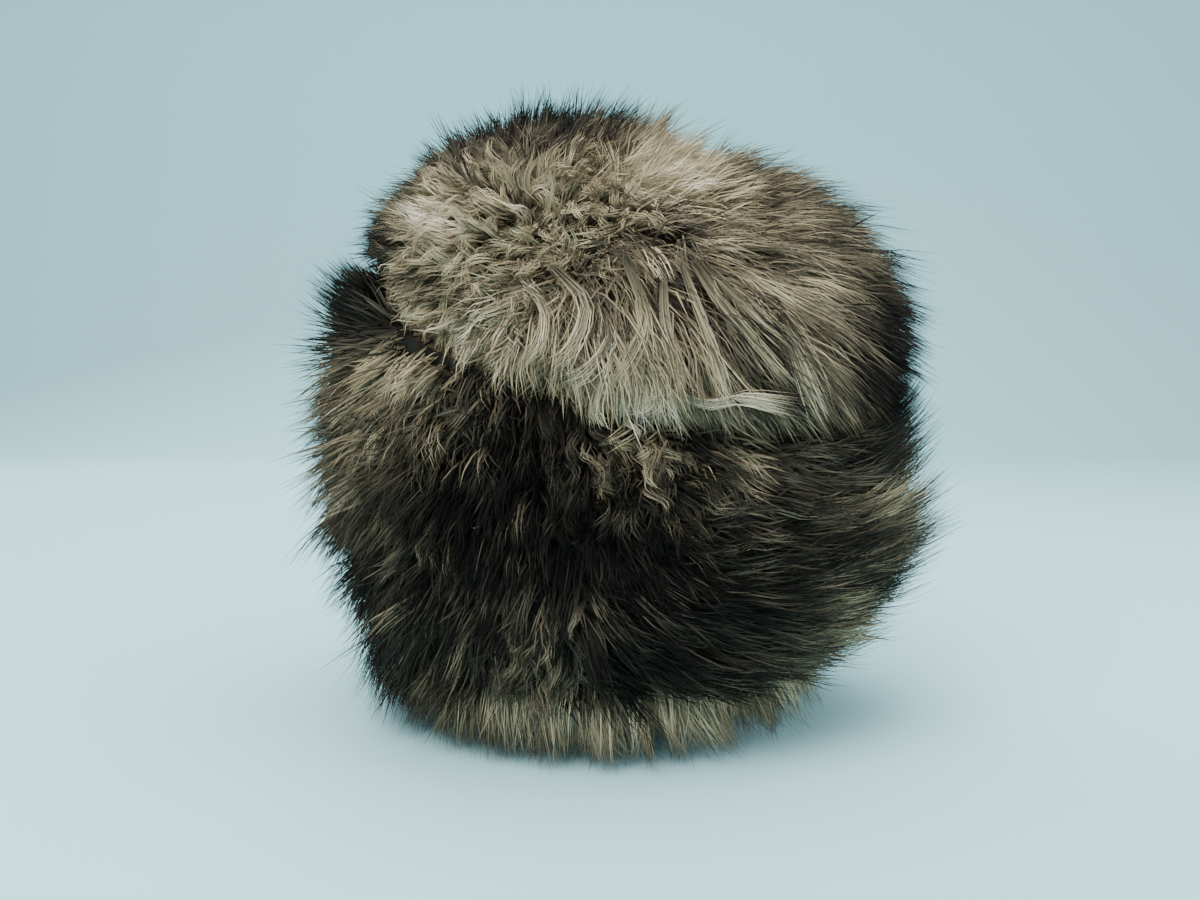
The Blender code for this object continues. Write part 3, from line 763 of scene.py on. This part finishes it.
def grow_wisps():
    """The single locks that hang or curl by themselves on the crown's front."""
    stand = 0.003
    sink = 0.010
    spread_share = 0.36
    hair_stray = 0.0026
    hair_width = 0.00046
    chance = np.random.default_rng(SEEDS["wisps"])
    camera, right, up, forward = photo_view()
    places, seen = outer_fur()
    steps = 9
    share = np.linspace(0.0, 1.0, steps)
    paths = []
    tones = []
    for wisp in WISPS:
        middle = smooth_way(behind_photo(wisp["way"], places, seen, stand), steps)
        middle += forward * (sink * (1.0 - share) ** 2)[:, None]
        hairs = wisp["hairs"]
        spread = chance.normal(0.0, wisp["wide"] * spread_share * MM, (hairs, 3))
        narrow = 0.55 + 0.75 * np.sin(share * math.pi * 0.8) - 0.55 * share**2
        stray = chance.normal(0.0, hair_stray, (hairs, 3))
        path = middle[None] + spread[:, None] * narrow[None, :, None]
        path = path + stray[:, None] * (share**2)[None, :, None]
        paths.append(path)
        tones.append(wisp["tone"] - 0.06 + chance.normal(0.0, 0.12, hairs))
    points = np.concatenate(paths)
    facing = forward + 0.4 * chance.normal(size=(len(points), 3))
    sides = unit(np.cross(points[:, -1] - points[:, 0], facing))
    width = hair_width * chance.uniform(*HAIR_WIDTHS, len(points))
    return ribbons("crown_wisps", inside_box(points), sides, width, np.concatenate(tones))


def underfur_shade_skin(name, surface, lie, low):
    """The dense mass of the fur that hides the leather between the hairs: a skin that stands off it by
    a share of the pile, from a share of the surface's height upward. Its dark colour is partly the
    underfur's own and partly painted shade in the gaps between the hairs."""
    columns = 120
    rows = 30
    depth = 0.25
    least = 0.0008
    top = 0.998
    bpy.ops.object.select_all(action="DESELECT")
    bpy.ops.mesh.primitive_grid_add(x_subdivisions=columns, y_subdivisions=rows, size=1.0)
    piece = bpy.context.object
    piece.name = name
    piece.data.name = name
    mesh = piece.data
    flat = np.empty(len(mesh.vertices) * 3)
    mesh.vertices.foreach_get("co", flat)
    flat = flat.reshape(-1, 3)
    turn = (flat[:, 0] + 0.5) * FULL_TURN
    rise = low + (top - low) * (flat[:, 1] + 0.5)
    places = surface(turn, rise)
    normals = surface_normals(surface, turn, rise)
    pile = lie(places, normals, rise, turn)[1]["pile"] * MM
    edge = smooth_step(0.0, 0.12, rise - low)
    rough = 1.0 + 0.10 * np.sin(turn * 31.0) * np.sin(rise * 40.0)
    places = places + normals * (pile * depth * rough * edge + least)[:, None]
    mesh.vertices.foreach_set("co", places.reshape(-1))
    mesh.update()
    bpy.ops.object.mode_set(mode="EDIT")
    bpy.ops.mesh.select_all(action="SELECT")
    bpy.ops.mesh.remove_doubles(threshold=0.00005)
    bpy.ops.mesh.normals_make_consistent(inside=False)
    bpy.ops.object.mode_set(mode="OBJECT")
    bpy.ops.object.shade_smooth()
    return piece


def ramp(nodes, name, stops, place):
    """A colour ramp through these stops."""
    node = nodes.new("ShaderNodeValToRGB")
    node.label = name
    node.location = place
    elements = node.color_ramp.elements
    while len(elements) < len(stops):
        elements.new(0.5)
    for element, (at, colour) in zip(elements, stops):
        element.position = at
        element.color = (*colour, 1.0)
    return node


def start_material(name, roughness, specular):
    """A new material with its shader's plain values set."""
    made = bpy.data.materials.new(name)
    made.use_nodes = True
    shader = made.node_tree.nodes["Principled BSDF"]
    shader.inputs["Roughness"].default_value = roughness
    shader.inputs["Specular IOR Level"].default_value = specular
    return made, made.node_tree.nodes, made.node_tree.links, shader


def hair_material(name, tip_start, tip_dark, root_shade):
    """Hair read from its own map: along the hair from root to tip, and the shade across. Towards the root
    it is darkened as painted shade of the fur's depth.
    """
    made, nodes, links, shader = start_material(name, 0.72, 0.10)
    place = nodes.new("ShaderNodeUVMap")
    place.uv_map = "OFBake"
    split = nodes.new("ShaderNodeSeparateXYZ")
    links.new(place.outputs["UV"], split.inputs["Vector"])
    shade = ramp(nodes, "Shade", TONES, (-600, 200))
    links.new(split.outputs["Y"], shade.inputs["Fac"])
    # Painted shade: each hair darkens towards its root, where the fur around it would shade it; the dark
    # tip is the hair's own colour
    low = (root_shade,) * 3
    high = (tip_dark, tip_dark * 0.97, tip_dark * 0.92)
    stops = ((0.0, low), (0.40, (0.85, 0.85, 0.85)), (tip_start, (1.0, 1.0, 1.0)), (0.97, high))
    along = ramp(nodes, "Root shade to tip", stops, (-600, -100))
    links.new(split.outputs["X"], along.inputs["Fac"])
    mix = nodes.new("ShaderNodeMix")
    mix.data_type = "RGBA"
    mix.blend_type = "MULTIPLY"
    mix.inputs["Factor"].default_value = 1.0
    links.new(shade.outputs["Color"], mix.inputs["A"])
    links.new(along.outputs["Color"], mix.inputs["B"])
    links.new(mix.outputs["Result"], shader.inputs["Base Color"])
    return made


def mass_material(name, dark, pale, scale):
    """Dense underfur seen between the hairs, and the pelt's suede: mottled and rough. On the underfur the
    dark colour is partly painted shade of the gaps.
    """
    made, nodes, links, shader = start_material(name, 0.95, 0.05)
    place = nodes.new("ShaderNodeTexCoord")
    noise = nodes.new("ShaderNodeTexNoise")
    noise.inputs["Scale"].default_value = scale
    noise.inputs["Detail"].default_value = 6.0
    links.new(place.outputs["Object"], noise.inputs["Vector"])
    colours = ramp(nodes, "Mottle", ((0.35, dark), (0.68, pale)), (-400, 200))
    links.new(noise.outputs["Fac"], colours.inputs["Fac"])
    links.new(colours.outputs["Color"], shader.inputs["Base Color"])
    bump = nodes.new("ShaderNodeBump")
    bump.inputs["Strength"].default_value = 0.6
    bump.inputs["Distance"].default_value = 0.002
    links.new(noise.outputs["Fac"], bump.inputs["Height"])
    links.new(bump.outputs["Normal"], shader.inputs["Normal"])
    return made


def dress_leather():
    """The pelt's suede side on the two leather nodes."""
    suede = mass_material("pelt_suede", (0.17, 0.13, 0.09), (0.27, 0.215, 0.155), 240.0)
    for node in ("crown", "cuff"):
        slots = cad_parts[node].material_slots
        for slot in slots:
            slot.material = suede


def dress_hat():
    """Make every piece of fur, give it its material, and hide the solid that it covers."""
    dress_leather()
    # The last value of each is how dark the painted shade at the hair's root is
    soft = hair_material("wool_hair", tip_start=0.90, tip_dark=0.60, root_shade=0.20)
    lock = hair_material("lock_hair", tip_start=0.80, tip_dark=0.55, root_shade=0.14)
    guard = hair_material("guard_hair", tip_start=0.50, tip_dark=0.03, root_shade=0.45)
    rim = hair_material("rim_hair", tip_start=0.50, tip_dark=0.05, root_shade=0.60)
    # The underfur skins' dark colours are partly the underfur's own and partly painted shade in the gaps
    # between the hairs
    crown_gap_shade = mass_material("crown_shade_mass", (0.035, 0.030, 0.022), (0.12, 0.104, 0.075), 90.0)
    cuff_gap_shade = mass_material("cuff_shade_mass", (0.006, 0.006, 0.005), (0.022, 0.020, 0.016), 90.0)
    looks = {"wool": soft, "locks": lock, "curls": lock, "guard_hair": guard}
    crown_shade_mass = underfur_shade_skin("crown_shade_mass", crown_surface, crown_lie, low=0.0)
    cuff_shade_mass = underfur_shade_skin("cuff_shade_mass", cuff_surface, cuff_lie, low=0.03)
    pieces = [(crown_shade_mass, crown_gap_shade, "pale_fur", "crown_fur")]
    pieces.append((cuff_shade_mass, cuff_gap_shade, "dark_fur", "cuff_fur"))
    crown_coat = grow_coat("crown", sow_crown, crown_lie)
    for kind, look in looks.items():
        pieces.append((crown_coat[kind], look, "pale_fur", "crown_fur"))
    pieces.append((grow_wisps(), lock, "pale_fur", "crown_fur"))
    cuff_coat = grow_coat("cuff", sow_cuff, cuff_lie)
    for kind, look in looks.items():
        pieces.append((cuff_coat[kind], look, "dark_fur", "cuff_fur"))
    for piece, look in zip(grow_rim(), (rim, guard)):
        pieces.append((piece, look, "fringe_fur", "rim_fringe"))
    for piece, look, slot, node in pieces:
        piece.data.materials.clear()
        piece.data.materials.append(look)
        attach(piece, "root")
        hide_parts(node)


def add_studio():
    """Pale floor that curves up into a pale backdrop."""
    front = -1.2
    back = 1.6
    top = 4.0
    radius = 0.9
    bend = [(back + radius * math.sin(a), radius - radius * math.cos(a))
            for a in np.linspace(0.0, math.pi / 2, 24)]
    section = [(front, 0.0)] + bend + [(back + radius, top)]
    half = 4.0
    verts = [(x, y, z) for y, z in section for x in (-half, half)]
    faces = [(2 * i, 2 * i + 1, 2 * i + 3, 2 * i + 2) for i in range(len(section) - 1)]
    mesh = bpy.data.meshes.new("studio_floor")
    mesh.from_pydata(verts, [], faces)
    mesh.update()
    mesh.shade_smooth()
    floor = bpy.data.objects.new("studio_floor", mesh)
    bpy.context.scene.collection.objects.link(floor)
    made, nodes, links, shader = start_material("studio_paint", 0.9, 0.1)
    shader.inputs["Base Color"].default_value = (0.45, 0.77, 0.81, 1.0)
    mesh.materials.append(made)


def add_lights():
    """Soft square lights that face the hat, and an even surround."""
    for row in LIGHTS:
        light = named(LIGHT_COLUMNS, row)
        data = bpy.data.lights.new(light["name"], "AREA")
        data.size = light["size"]
        data.energy = light["power"]
        data.color = light["colour"]
        lamp = bpy.data.objects.new(light["name"], data)
        lamp.location = light["place"]
        way = Vector(LIGHT_AIM) - Vector(light["place"])
        lamp.rotation_euler = way.to_track_quat("-Z", "Y").to_euler()
        bpy.context.scene.collection.objects.link(lamp)
    world = bpy.data.worlds.new("studio_air")
    world.use_nodes = True
    air = world.node_tree.nodes["Background"]
    air.inputs["Color"].default_value = (0.88, 0.94, 0.96, 1.0)
    air.inputs["Strength"].default_value = 0.85
    bpy.context.scene.world = world


def add_camera():
    """The photo's view."""
    place, right, up, forward = photo_view()
    data = bpy.data.cameras.new("photo_camera")
    data.lens = LENS_MM
    data.sensor_width = SENSOR_MM
    data.clip_start = 0.02
    camera = bpy.data.objects.new("photo_camera", data)
    camera.location = Vector(place)
    camera.rotation_euler = Vector(forward).to_track_quat("-Z", "Y").to_euler()
    bpy.context.scene.collection.objects.link(camera)
    bpy.context.scene.camera = camera


add_camera()
add_studio()
add_lights()
dress_hat()
